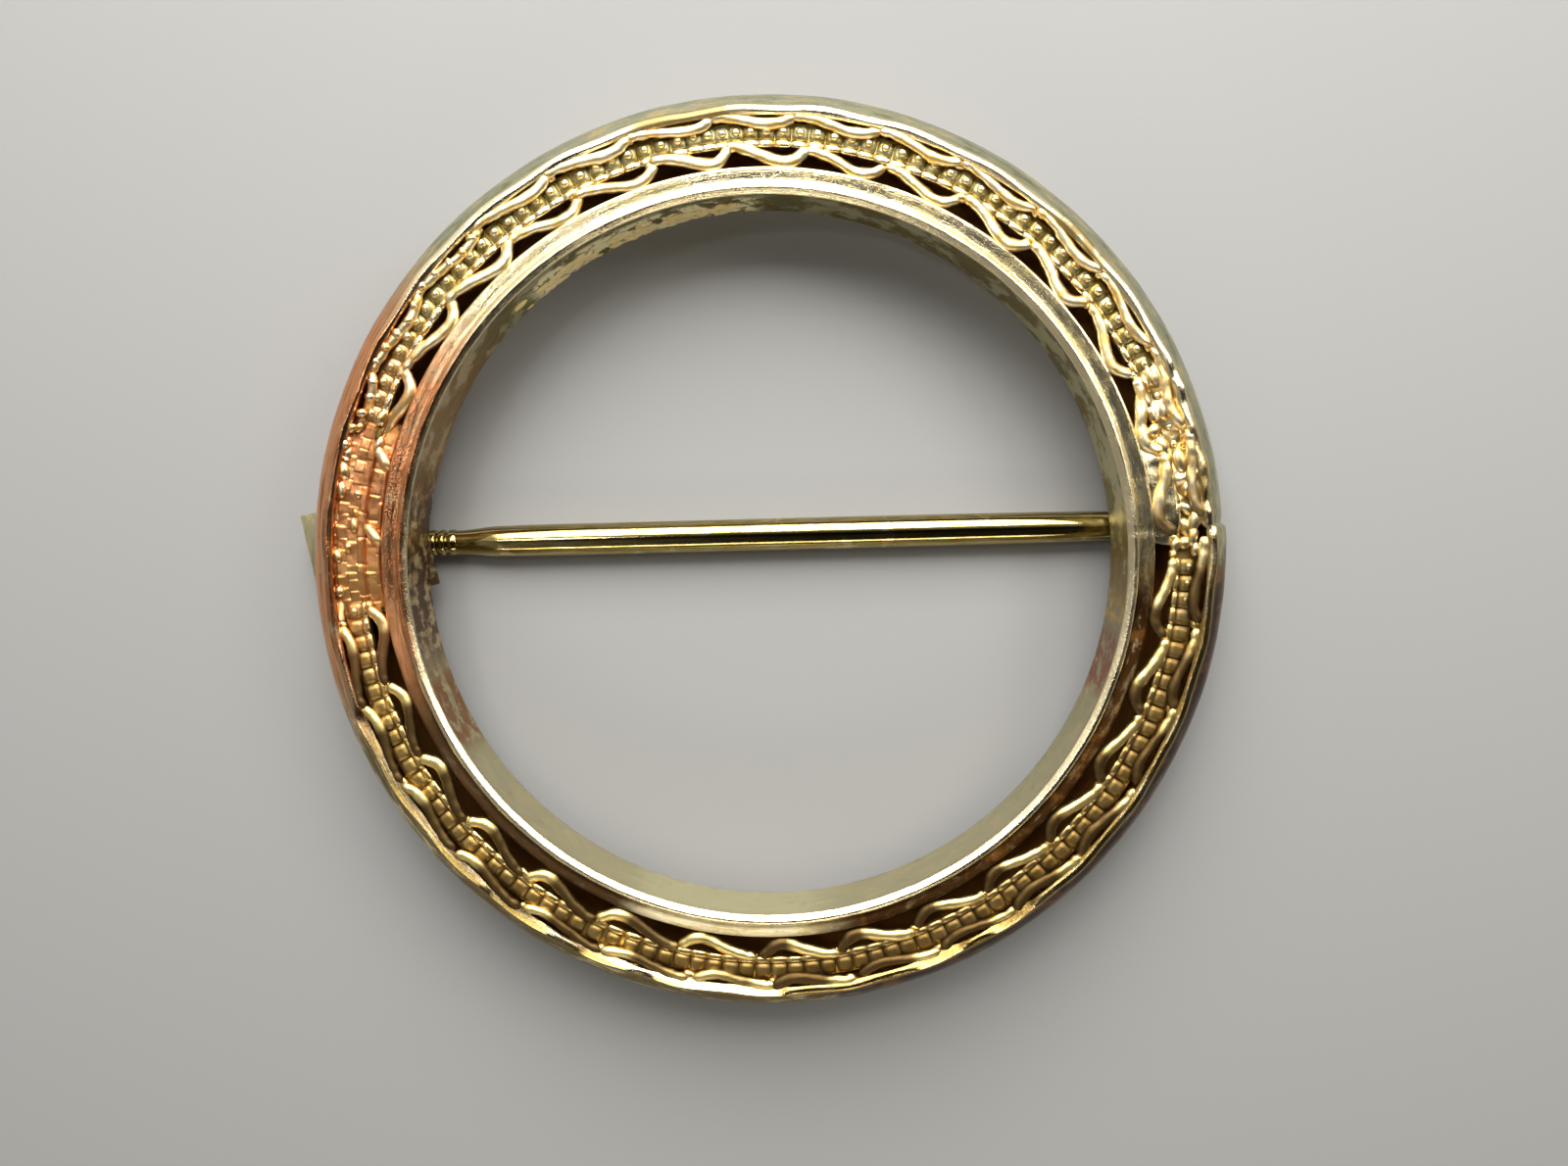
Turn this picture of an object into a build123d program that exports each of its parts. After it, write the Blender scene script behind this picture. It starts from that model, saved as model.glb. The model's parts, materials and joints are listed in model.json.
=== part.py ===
from build123d import *
import math
import os

# A circle brooch of thin gold-filled sheet, in millimetres. It lies on its back with its front up.
# +X runs along the pin from its hinge to its catch. The origin is at the middle of its outline,
# on the surface that it lies on. Radii are from the ring's centre, drops from the inner lip's crest.

# Ring, from the opening outwards
bore_r = 12.06
lip_width = 0.31
flange_width = 0.43
inner_border = 0.17
inner_lace = 0.66
line_width = 0.20
line_gap = 0.10
bead_width = 0.38
outer_lace = 0.28
outer_border = 0.06
rim_width = 0.17
side_width = 0.62
side_tuck = 0.35

# Ring, from the front to the back
ring_depth = 2.65
lip_crown = 0.07
flange_drop = 0.35
rim_drop = 0.15
rim_crown = 0.05
seat_drop = 0.70
ledge_thickness = 0.30
belly_drop = 1.15
wall = 0.30
back_edge = 0.12

# Filigree band
band_thickness = 0.30
band_gap = 0.03
seat_gap = 0.01
repeats = 31
beads_per_repeat = 5
seam_turn = 2.0
seam_patch = 2.9
outer_wave_lead = 2.0
bead_rise = 0.12
bead_taper = 25.0
bead_spacing = 0.09

# Pin
pin_offset = 0.84
stem_r = 0.58
stem_gap = 0.05
stem_end_r = 0.46
taper_end_r = 0.54
caught_r = 0.37
tip_r = 0.06
tip_inset = 0.30
swell_length = 1.7
taper_length = 4.3
caught_run = 0.6
shaft_gap = 0.37
collar_width = 0.24
collar_spacing = 0.36
collar_rise = 0.06

# Hinge
plate_length = 4.5
plate_width = 3.4
plate_thickness = 0.15
plate_skew = 6.2
plate_shift_x = -0.42
plate_shift_y = -0.17
ear_r = 0.62
ear_thickness = 0.40
eye_width = 0.95
eye_clearance = 0.06
ear_clearance = 0.03
rivet_r = 0.20
rivet_clearance = 0.03
rivet_seat = 0.01
rivet_head_r = 0.34
rivet_head = 0.13

# Catch
catch_length = 1.6
catch_cheek = 0.30
catch_clearance = 0.09
catch_corner = 0.30
catch_plate_length = 2.6
catch_plate_width = 2.6

# What follows from them
lip_r = bore_r + lip_width
flange_r = lip_r + flange_width
band_inner_r = flange_r + band_gap
inner_lace_r = band_inner_r + inner_border
line_r = inner_lace_r + inner_lace + line_width / 2
bead_inner_r = line_r + line_width / 2 + line_gap
bead_r = bead_inner_r + bead_width / 2
outer_lace_r = bead_inner_r + bead_width
band_outer_r = outer_lace_r + outer_lace + outer_border
rim_inner_r = band_outer_r + band_gap
rim_outer_r = rim_inner_r + rim_width
outer_r = rim_outer_r + side_width
band_middle_r = (bore_r + outer_r) / 2

axis_drop = stem_r + stem_gap
foot_drop = axis_drop + ear_r
back_z = foot_drop
axis_z = back_z - axis_drop
lip_z = back_z + ring_depth
seat_z = lip_z - seat_drop
rim_z = lip_z - rim_drop

pitch = (360 - seam_patch) / repeats
first_crest = seam_turn - seam_patch
pattern_turn = -(360 - seam_patch)

skew = math.radians(plate_skew)
plate_reach = plate_length / 2 * math.cos(skew) + plate_width / 2 * math.sin(skew)
hinge_from_centre = -band_middle_r
plate_from_centre = hinge_from_centre + plate_shift_x
ring_x = (plate_reach - plate_from_centre - outer_r) / 2
hinge_x = ring_x + hinge_from_centre
plate_x = ring_x + plate_from_centre
catch_x = ring_x + band_middle_r

ear_inner = eye_width / 2 + ear_clearance
ear_outer = ear_inner + ear_thickness
eye_r = axis_drop - plate_thickness - eye_clearance
neck_r = eye_r - collar_rise
catch_inner = caught_r + catch_clearance
catch_outer = catch_inner + catch_cheek

# The pierced triangles of one wave, as shares of its pitch, clockwise, and of the lace's width
inside_hole = [{"turn": -0.225, "height": 0.06}, {"turn": 0.065, "height": 0.62}, {"turn": 0.56, "height": 0.06}]
outside_hole = [{"turn": 0.184, "height": 0.94}, {"turn": 0.695, "height": 0.29}, {"turn": 0.964, "height": 0.94}]


def lace_point(corner, start_r, width):
    """A corner of a pierced triangle, for the repeat that starts on the +X axis."""
    turn = math.radians(-corner["turn"] * pitch)
    radius = start_r + corner["height"] * width
    return (radius * math.cos(turn), radius * math.sin(turn))


def pierce_lace(start_r, width, crest_turn):
    """Cut both triangles of every repeat out of the sketch that is being made."""
    for hole in (inside_hole, outside_hole):
        with PolarLocations(0, repeats, start_angle=crest_turn, angular_range=pattern_turn):
            Polygon(*[lace_point(corner, start_r, width) for corner in hole], align=None, mode=Mode.SUBTRACT)


# The hollow ring, open at the front, with the joint plate, its ears and the catch soldered to its back
with BuildPart() as ring_frame:
    with BuildSketch(Plane((ring_x, 0, 0), x_dir=(1, 0, 0), z_dir=(0, -1, 0))) as channel:
        belly_z = lip_z - belly_drop
        tuck_r = outer_r - side_tuck
        lip_side_z = lip_z - lip_crown
        ledge_in_r = inner_lace_r
        ledge_out_r = rim_inner_r - band_gap - outer_border
        with BuildLine():
            Line((bore_r + back_edge, back_z), (tuck_r, back_z))
            TangentArc((outer_r, belly_z), (tuck_r, back_z), tangent=(0, -1))
            TangentArc((outer_r, belly_z), (rim_outer_r, rim_z - rim_crown), tangent=(0, 1))
            SagittaArc((rim_inner_r, rim_z - rim_crown), (rim_outer_r, rim_z - rim_crown), rim_crown)
            Polyline(
                (rim_inner_r, rim_z - rim_crown),
                (rim_inner_r, seat_z),
                (ledge_out_r, seat_z),
                (ledge_out_r, seat_z - ledge_thickness),
                (tuck_r - wall, seat_z - ledge_thickness),
                (tuck_r - wall, back_z + wall),
                (bore_r + wall, back_z + wall),
                (bore_r + wall, seat_z - ledge_thickness),
                (ledge_in_r, seat_z - ledge_thickness),
                (ledge_in_r, seat_z),
                (flange_r, seat_z),
                (flange_r, lip_z - flange_drop),
                (lip_r, lip_side_z),
            )
            SagittaArc((bore_r, lip_side_z), (lip_r, lip_side_z), lip_crown)
            Line((bore_r, lip_side_z), (bore_r, back_z + back_edge))
            TangentArc((bore_r, back_z + back_edge), (bore_r + back_edge, back_z), tangent=(0, -1))
        make_face()
    revolve(axis=Axis((ring_x, 0, 0), (0, 0, 1)))

    back_plane = Plane((0, 0, back_z - plate_thickness))
    with BuildSketch(back_plane) as joint_plate:
        with Locations((plate_x, pin_offset + plate_shift_y)):
            Rectangle(plate_length, plate_width, rotation=plate_skew)
    extrude(amount=plate_thickness)
    with BuildSketch(back_plane) as catch_plate:
        with Locations((catch_x, pin_offset)):
            RectangleRounded(catch_plate_length, catch_plate_width, catch_corner)
    extrude(amount=plate_thickness)

    for ear_y in (pin_offset - ear_outer, pin_offset + ear_inner):
        with BuildSketch(Plane((hinge_x, ear_y, axis_z), x_dir=(-1, 0, 0), z_dir=(0, 1, 0))) as ear:
            Circle(ear_r)
            with Locations((0, axis_drop / 2)):
                Rectangle(2 * ear_r, axis_drop)
            Circle(rivet_r + rivet_seat, mode=Mode.SUBTRACT)
        extrude(amount=ear_thickness)

    for cheek_y in (pin_offset - catch_outer, pin_offset + catch_inner):
        with BuildSketch(Plane((catch_x, cheek_y, 0), x_dir=(-1, 0, 0), z_dir=(0, 1, 0))) as cheek:
            with Locations((0, back_z / 2)):
                Rectangle(catch_length, back_z)
            fillet(cheek.vertices().group_by(Axis.Z)[0], catch_corner)
        extrude(amount=catch_cheek)
ring_frame.part.label = "ring_frame"


# The gallery strip, pierced right through, with its beads and its fine line standing up from it
band_bottom = seat_z + seat_gap
band_top = band_bottom + band_thickness
band_plane = Plane((ring_x, 0, band_bottom))
with BuildPart() as filigree_band:
    with BuildSketch(band_plane) as lace:
        Circle(band_outer_r)
        Circle(band_inner_r, mode=Mode.SUBTRACT)
        pierce_lace(inner_lace_r, inner_lace, first_crest)
        pierce_lace(outer_lace_r, outer_lace, first_crest + outer_wave_lead)
    extrude(amount=band_thickness)
    with BuildSketch(Plane((ring_x, 0, band_top), x_dir=(1, 0, 0), z_dir=(0, -1, 0))) as fine_line:
        with Locations((line_r, 0)):
            Circle(line_width / 2)
    revolve(axis=Axis((ring_x, 0, 0), (0, 0, 1)))
    bead_length = math.radians(pitch / beads_per_repeat) * bead_r - bead_spacing
    with BuildSketch(band_plane.offset(band_thickness)) as bead_row:
        with PolarLocations(
            bead_r, repeats * beads_per_repeat, start_angle=first_crest, angular_range=pattern_turn
        ):
            Rectangle(bead_width, bead_length)
    extrude(amount=bead_rise, taper=bead_taper)
filigree_band.part.label = "filigree_band"


# The rivet, headed on the outside of both ears
with BuildPart() as hinge_rivet:
    with BuildSketch(Plane((hinge_x, pin_offset, axis_z), x_dir=(1, 0, 0), z_dir=(0, -1, 0))) as rivet_section:
        Circle(rivet_r)
    extrude(amount=ear_outer + rivet_seat, both=True)
    for side in (-1, 1):
        head_y = pin_offset + side * (ear_outer + rivet_seat)
        with BuildSketch(Plane((hinge_x, head_y, axis_z), x_dir=(1, 0, 0), z_dir=(0, side, 0))) as head:
            Circle(rivet_head_r)
        extrude(amount=rivet_head, taper=bead_taper)
hinge_rivet.part.label = "hinge_rivet"


# The pin, turned about its own line, with a flattened eye at the hinge
shaft_x = plate_x + plate_reach + shaft_gap
second_collar_x = shaft_x - collar_spacing
first_collar_x = second_collar_x - collar_spacing
catch_start_x = catch_x - catch_length / 2
taper_end_x = catch_start_x - caught_run
taper_start_x = taper_end_x - taper_length
tip_x = ring_x + outer_r - tip_inset
stem_outline = [
    {"x": hinge_x, "radius": 0},
    {"x": hinge_x, "radius": neck_r},
    {"x": shaft_x, "radius": neck_r},
    {"x": shaft_x, "radius": stem_end_r},
    {"x": shaft_x + swell_length, "radius": stem_r},
    {"x": taper_start_x, "radius": stem_r},
    {"x": taper_end_x, "radius": taper_end_r},
    {"x": catch_start_x, "radius": caught_r},
    {"x": tip_x, "radius": tip_r},
    {"x": tip_x, "radius": 0},
]
with BuildPart() as pin_stem:
    with BuildSketch(Plane((0, pin_offset, axis_z), x_dir=(1, 0, 0), z_dir=(0, -1, 0))) as turned:
        with BuildLine():
            Polyline(*[(row["x"], row["radius"]) for row in stem_outline], close=True)
        make_face()
        for collar_x in (first_collar_x, second_collar_x):
            with BuildLine():
                start = (collar_x - collar_width / 2, neck_r)
                end = (collar_x + collar_width / 2, neck_r)
                SagittaArc(start, end, collar_rise)
                Polyline(end, (end[0], 0), (start[0], 0), start)
            make_face()
    revolve(axis=Axis((0, pin_offset, axis_z), (1, 0, 0)))
    with BuildSketch(Plane((hinge_x, pin_offset, axis_z), x_dir=(1, 0, 0), z_dir=(0, -1, 0))) as eye:
        Circle(eye_r)
    extrude(amount=eye_width / 2, both=True)
    with BuildSketch(Plane((hinge_x, pin_offset, axis_z), x_dir=(1, 0, 0), z_dir=(0, -1, 0))) as eye_bore:
        Circle(rivet_r + rivet_clearance)
    extrude(amount=eye_width, both=True, mode=Mode.SUBTRACT)
pin_stem.part.label = "pin_stem"


os.makedirs("parts", exist_ok=True)
for piece in (ring_frame, filigree_band, hinge_rivet, pin_stem):
    export_step(piece.part, f"parts/{piece.part.label}.step")
    low, high = piece.part.bounding_box().min, piece.part.bounding_box().max
    print(piece.part.label, "volume", round(piece.part.volume, 3), "from", low, "to", high)
print("ring centre x", round(ring_x, 3), "hinge x", round(hinge_x, 3), "axis z", round(axis_z, 3))
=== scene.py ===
import bpy
import json
import math
import random
from mathutils import Matrix, Vector, noise


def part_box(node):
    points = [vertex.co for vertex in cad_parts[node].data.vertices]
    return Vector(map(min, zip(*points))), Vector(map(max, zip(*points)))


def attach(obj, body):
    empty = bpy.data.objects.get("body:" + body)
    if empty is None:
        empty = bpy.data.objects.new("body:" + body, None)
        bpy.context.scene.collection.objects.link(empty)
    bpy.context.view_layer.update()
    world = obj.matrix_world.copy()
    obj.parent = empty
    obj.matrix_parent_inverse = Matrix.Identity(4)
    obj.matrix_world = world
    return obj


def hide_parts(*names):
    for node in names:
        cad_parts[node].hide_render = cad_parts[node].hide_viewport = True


mm = 0.001
noise.seed_set(7)  # unseeded, the vector noise is another in each run
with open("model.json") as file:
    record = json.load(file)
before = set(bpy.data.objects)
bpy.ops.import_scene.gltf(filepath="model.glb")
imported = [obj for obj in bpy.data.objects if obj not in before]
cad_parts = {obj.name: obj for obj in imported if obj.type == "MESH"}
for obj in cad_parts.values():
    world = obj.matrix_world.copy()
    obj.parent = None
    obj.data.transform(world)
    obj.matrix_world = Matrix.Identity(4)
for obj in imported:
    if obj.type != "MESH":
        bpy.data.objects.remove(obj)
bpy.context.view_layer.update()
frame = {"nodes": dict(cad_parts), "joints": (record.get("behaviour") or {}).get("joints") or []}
print("frame loaded")

# the brooch lies on its back: +X runs along the pin, +Y is up as worn, +Z comes out of the front
bandLow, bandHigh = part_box("filigree_band")
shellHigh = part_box("ring_frame")[1]
ringX = (bandLow.x + bandHigh.x) / 2 / mm
outerRadius = shellHigh.y / mm
meanRadius = 13.8
lipZ = shellHigh.z / mm
sheetDepth = 2.65  # from the lip's crest down to the ring's plain back
backZ = lipZ - sheetDepth
hingeX, pinY, pinZ = [value / mm for value in frame["joints"][0]["pos_m"]]
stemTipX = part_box("pin_stem")[1].x / mm


def ringPoint(turn, radius, drop):
    # turn is in degrees, anticlockwise from +X, radius from the ring's middle, drop below the lip's crest
    angle = math.radians(turn)
    return Vector((ringX + radius * math.cos(angle), radius * math.sin(angle), lipZ - drop)) * mm


def polar(point):
    # the turn, radius and drop of a point in metres
    x, y = point.x / mm - ringX, point.y / mm
    return math.degrees(math.atan2(y, x)), math.hypot(x, y), lipZ - point.z / mm


def turnGap(turn, other):
    return (turn - other + 180) % 360 - 180


def fadeIn(value, start, end):
    share = min(1.0, max(0.0, (value - start) / (end - start)))
    return share * share * (3 - 2 * share)


def nearTurn(turn, middle, half, fade):
    # 1 within half degrees of the middle, 0 from half and fade degrees on
    return fadeIn(abs(turnGap(turn, middle)), half + fade, half)


def lowSide(turn, start, end):
    # fades in from the ring's upper half to its lower half
    return fadeIn(-math.sin(math.radians(turn)), start, end)


def pickOnly(obj):
    bpy.ops.object.select_all(action="DESELECT")
    obj.select_set(True)
    bpy.context.view_layer.objects.active = obj


def nameActive(name):
    obj = bpy.context.object
    obj.name = name
    obj.data.name = name
    return obj


def bevelEdges(obj, width, segments=3, angle=0.6):
    addModifier(obj, "BEVEL", width=width, segments=segments, limit_method="ANGLE", angle_limit=angle)


def addModifier(obj, kind, **values):
    # a modifier is added with its values and applied at once
    pickOnly(obj)
    modifier = obj.modifiers.new(kind.lower(), kind)
    for key, value in values.items():
        setattr(modifier, key, value)
    bpy.ops.object.modifier_apply(modifier=modifier.name)


def copyMesh(master):
    # a copy with a mesh of its own
    copy = master.copy()
    copy.data = master.data.copy()
    bpy.context.scene.collection.objects.link(copy)
    return copy


def joinCopies(master, copies, name):
    bpy.data.objects.remove(master)
    return joinPieces(copies, name)


def joinPieces(objects, name):
    pickOnly(objects[0])
    for obj in objects:
        obj.select_set(True)
    bpy.ops.object.join()
    return nameActive(name)


def freezePlace(obj):
    pickOnly(obj)
    bpy.ops.object.transform_apply(location=True, rotation=True, scale=True)


def editAll():
    bpy.ops.object.mode_set(mode="EDIT")
    bpy.ops.mesh.select_all(action="SELECT")


def tidyNormals(obj, merge=1e-7):
    pickOnly(obj)
    editAll()
    bpy.ops.mesh.remove_doubles(threshold=merge)
    bpy.ops.mesh.normals_make_consistent(inside=False)
    bpy.ops.object.mode_set(mode="OBJECT")


def finishPiece(obj, body, material, stands=(), angle=40):
    freezePlace(obj)
    bpy.ops.object.shade_smooth_by_angle(angle=math.radians(angle))
    obj.data.materials.clear()
    obj.data.materials.append(material)
    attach(obj, body)
    if stands:
        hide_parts(*stands)
    print("made", obj.name, len(obj.data.polygons), "faces")


# camera: seen from the front, a little above the middle and very close, as a phone sees a small jewel
cameraSet = {
    "lens": 25.99, "sensor": 36.0, "height": 37.4,
    "standX": 1.467, "standY": 1.931, "aimX": 0.613, "aimY": -0.689, "roll": -1.4,
}


def addCamera(values):
    bpy.ops.object.camera_add()
    camera = nameActive("camera")
    stand = Vector((ringX + values["standX"], values["standY"], lipZ + values["height"])) * mm
    aim = Vector((ringX + values["aimX"], values["aimY"], lipZ)) * mm
    back = (stand - aim).normalized()
    right = (Vector((1, 0, 0)) - back * back.x).normalized()
    up = back.cross(right)
    frameMatrix = Matrix((right, up, back)).transposed().to_4x4()
    roll = Matrix.Rotation(math.radians(values["roll"]), 4, "Z")
    camera.matrix_world = Matrix.Translation(stand) @ frameMatrix @ roll
    camera.data.lens = values["lens"]
    camera.data.sensor_width = values["sensor"]
    camera.data.clip_start = 0.001
    bpy.context.scene.camera = camera


addCamera(cameraSet)
print("camera placed")

# lights: a softbox on the top side, a narrow strip opposite, a smaller box on the right, and a lamp for
# glints; each row is a name, place, width and depth in mm, power and tone
softboxes = [
    ("keySoftbox", (-2, 80, 76), 84, 88, 0.26, (1.0, 0.98, 0.94)),
    ("lowStrip", (-2, -93, 58), 76, 16, 0.019, (1.0, 0.92, 0.76)),
    ("sideBox", (68, 42, 75), 40, 34, 0.034, (1.0, 0.98, 0.92)),
    ("glintLamp", (-34, 20, 110), 10, 10, 0.008, (1, 1, 1)),
]


def addSoftbox(name, place, width, depth, power, tone):
    place = Vector(place) * mm
    bpy.ops.object.light_add(type="AREA", location=place)
    lamp = nameActive(name)
    lamp.rotation_euler = (place - Vector((0, 0, lipZ * mm))).to_track_quat("Z", "Y").to_euler()
    lamp.data.shape = "RECTANGLE"
    lamp.data.size = width * mm
    lamp.data.size_y = depth * mm
    lamp.data.energy = power
    lamp.data.color = tone


for row in softboxes:
    addSoftbox(*row)
print("lights placed")


# materials: the helpers find the node tree through the sockets that they are given
def newTree(name):
    material = bpy.data.materials.new(name)
    material.use_nodes = True
    tree = material.node_tree
    tree.nodes.clear()
    shader = tree.nodes.new("ShaderNodeBsdfPrincipled")
    output = tree.nodes.new("ShaderNodeOutputMaterial")
    tree.links.new(shader.outputs["BSDF"], output.inputs["Surface"])
    return material, tree, shader


def setInputs(tree, node, values):
    # a socket is linked, a number is set
    for key, value in values.items():
        if isinstance(value, bpy.types.NodeSocket):
            tree.links.new(value, node.inputs[key])
        else:
            node.inputs[key].default_value = value


def addMath(operation, first, second=None):
    tree = (first if isinstance(first, bpy.types.NodeSocket) else second).id_data
    node = tree.nodes.new("ShaderNodeMath")
    node.operation = operation
    setInputs(tree, node, {index: value for index, value in enumerate((first, second)) if value is not None})
    return node.outputs[0]


def times(*factors):
    product = factors[0]
    for factor in factors[1:]:
        product = addMath("MULTIPLY", product, factor)
    return product


def plus(first, second):
    return addMath("ADD", first, second)


def oneMinus(value):
    return addMath("SUBTRACT", 1.0, value)


def addRamp(value, low, high, outLow=0.0, outHigh=1.0):
    tree = value.id_data
    node = tree.nodes.new("ShaderNodeMapRange")
    node.interpolation_type = "SMOOTHSTEP"
    setInputs(tree, node, {"Value": value, "From Min": low, "From Max": high})
    setInputs(tree, node, {"To Min": outLow, "To Max": outHigh})
    return node.outputs["Result"]


# the darkest tone serves painted shade, the grey-green one a painted reflection, and the glint tone a painted
# highlight
goldTones = {
    "gold": (0.85, 0.58, 0.20), "pale": (0.94, 0.81, 0.52), "cream": (0.68, 0.56, 0.28),
    "olive": (0.30, 0.235, 0.070), "moss": (0.20, 0.135, 0.030), "greenReflection": (0.42, 0.42, 0.28),
    "rose": (0.68, 0.30, 0.13), "umber": (0.075, 0.036, 0.012), "brown": (0.20, 0.085, 0.018),
    "bright": (0.98, 0.76, 0.28), "straw": (0.80, 0.68, 0.34), "amber": (0.40, 0.27, 0.08),
    "russet": (0.20, 0.07, 0.035), "sage": (0.17, 0.165, 0.065), "shadeTone": (0.055, 0.024, 0.007),
    "tan": (0.38, 0.235, 0.065), "khaki": (0.43, 0.40, 0.235), "shaft": (0.44, 0.35, 0.16),
    "flame": (0.74, 0.31, 0.11), "glint": (0.98, 0.88, 0.52),
}


def addMix(share, first, second):
    # each of the two colours is a socket or the name of a tone
    tree = share.id_data
    node = tree.nodes.new("ShaderNodeMix")
    node.data_type = "RGBA"
    first, second = [(*goldTones[tone], 1) if isinstance(tone, str) else tone for tone in (first, second)]
    setInputs(tree, node, {"Factor": share, 6: first, 7: second})
    return node.outputs[2]


def addNoise(point, scale, detail, rough, stretch=None):
    tree = point.id_data
    if stretch:
        mapping = tree.nodes.new("ShaderNodeMapping")
        mapping.inputs["Scale"].default_value = stretch
        tree.links.new(point, mapping.inputs["Vector"])
        point = mapping.outputs["Vector"]
    node = tree.nodes.new("ShaderNodeTexNoise")
    setInputs(tree, node, {"Vector": point, "Scale": scale, "Detail": detail, "Roughness": rough})
    return node.outputs["Fac"]


def useGroup(tree, group, **values):
    node = tree.nodes.new("ShaderNodeGroup")
    node.node_tree = group
    setInputs(tree, node, values)
    return node


def newGroup(name, inputs, outputs):
    group = bpy.data.node_groups.new(name, "ShaderNodeTree")
    for key, value in inputs:
        socket = group.interface.new_socket(key, in_out="INPUT", socket_type="NodeSocketFloat")
        socket.default_value = value
    for key, kind in outputs:
        group.interface.new_socket(key, in_out="OUTPUT", socket_type=kind)
    return group, group.nodes.new("NodeGroupInput"), group.nodes.new("NodeGroupOutput")


def buildPlaceGroup():
    # where a point of the brooch is, in mm: round the ring, out from its middle and down from its front
    group, _, result = newGroup("placeOnRing", [], [
        ("Point", "NodeSocketVector"), ("Along", "NodeSocketVector"), ("Radius", "NodeSocketFloat"),
        ("Drop", "NodeSocketFloat"), ("Right", "NodeSocketFloat"), ("Up", "NodeSocketFloat"),
    ])
    coordinates = group.nodes.new("ShaderNodeTexCoord")
    mapping = group.nodes.new("ShaderNodeMapping")
    mapping.inputs["Location"].default_value = (-ringX, 0, 0)
    mapping.inputs["Scale"].default_value = (1 / mm, 1 / mm, 1 / mm)
    group.links.new(coordinates.outputs["Object"], mapping.inputs["Vector"])
    split = group.nodes.new("ShaderNodeSeparateXYZ")
    group.links.new(mapping.outputs["Vector"], split.inputs["Vector"])
    x, y, z = split.outputs
    squared = plus(times(x, x), times(y, y))
    radius = addMath("SQRT", squared)
    turn = times(addMath("ARCTAN2", y, x), meanRadius)
    drop = addMath("SUBTRACT", lipZ, z)
    along = group.nodes.new("ShaderNodeCombineXYZ")
    setInputs(group, along, {"X": turn, "Y": radius, "Z": z})
    setInputs(group, result, {
        "Point": mapping.outputs["Vector"], "Along": along.outputs["Vector"], "Radius": radius, "Drop": drop,
        "Right": addMath("DIVIDE", x, radius), "Up": addMath("DIVIDE", y, radius),
    })
    return group


def buildSectorGroup():
    # 1 within HalfWidth degrees of Turn, fading to 0 over Fade degrees
    group, given, result = newGroup("ringSector", [
        ("Right", 0.0), ("Up", 0.0), ("Turn", 0.0), ("HalfWidth", 20.0), ("Fade", 10.0),
    ], [("Mask", "NodeSocketFloat")])
    turn = addMath("RADIANS", given.outputs["Turn"])
    facing = plus(times(given.outputs["Right"], addMath("COSINE", turn)),
                  times(given.outputs["Up"], addMath("SINE", turn)))
    gap = addMath("DEGREES", addMath("ARCCOSINE", times(facing, 0.9999)))
    outer = plus(given.outputs["HalfWidth"], given.outputs["Fade"])
    group.links.new(addRamp(gap, outer, given.outputs["HalfWidth"]), result.inputs["Mask"])
    return group


def buildWearGroup():
    # mottling and a small height, for metal that has been worn and rubbed
    group, given, result = newGroup("rubbedMetal", [("Mottle", 1.4), ("Fine", 9.0)], [
        ("Patch", "NodeSocketFloat"), ("Relief", "NodeSocketFloat"),
    ])
    place = useGroup(group, placeGroup)
    patch = addNoise(place.outputs["Point"], given.outputs["Mottle"], 5.0, 0.62)
    fine = addNoise(place.outputs["Point"], given.outputs["Fine"], 4.0, 0.7)
    streak = addNoise(place.outputs["Along"], 4.0, 3.0, 0.6, stretch=(0.35, 7.0, 5.0))
    relief = plus(times(fine, 0.5), times(streak, 0.5))
    setInputs(group, result, {"Patch": patch, "Relief": relief})
    return group


placeGroup = buildPlaceGroup()
sectorGroup = buildSectorGroup()
wearGroup = buildWearGroup()


def sectorMask(place, turn, halfWidth, fade):
    node = useGroup(place.id_data, sectorGroup, Right=place.outputs["Right"], Up=place.outputs["Up"],
                    Turn=turn, HalfWidth=halfWidth, Fade=fade)
    return node.outputs["Mask"]


def addBump(shader, height, strength, distance):
    tree = height.id_data
    bump = tree.nodes.new("ShaderNodeBump")
    setInputs(tree, bump, {"Strength": strength, "Distance": distance * mm, "Height": height})
    tree.links.new(bump.outputs["Normal"], shader.inputs["Normal"])


# stretches of the ring with their own tones, painted shade or a painted highlight: middle, half width and
# fade, in degrees
sheetSet = {
    "rose": (169.0, 17.0, 20.0), "shade": (-42.0, 34.0, 16.0), "dusk": (-141.0, 25.0, 9.0),
    "rimShade": (-38.0, 46.0, 14.0), "rimLeftShade": (-130.0, 26.0, 8.0), "rimLowestShade": (-81.0, 15.0, 6.0),
    "rimDull": ((44.5, 2.5, 4.0), (99.0, 5.0, 5.0)), "gilt": (110.0, 18.0, 4.0),
    "wallStains": [
        (-9.0, 1.6, 1.6, "amber"), (-18.0, 3.0, 4.0, "russet"), (-2.0, 3.0, 6.0, "moss"),
        (180.0, 9.0, 12.0, "umber"), (-156.0, 4.0, 5.0, "brown"),
    ],
}


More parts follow.
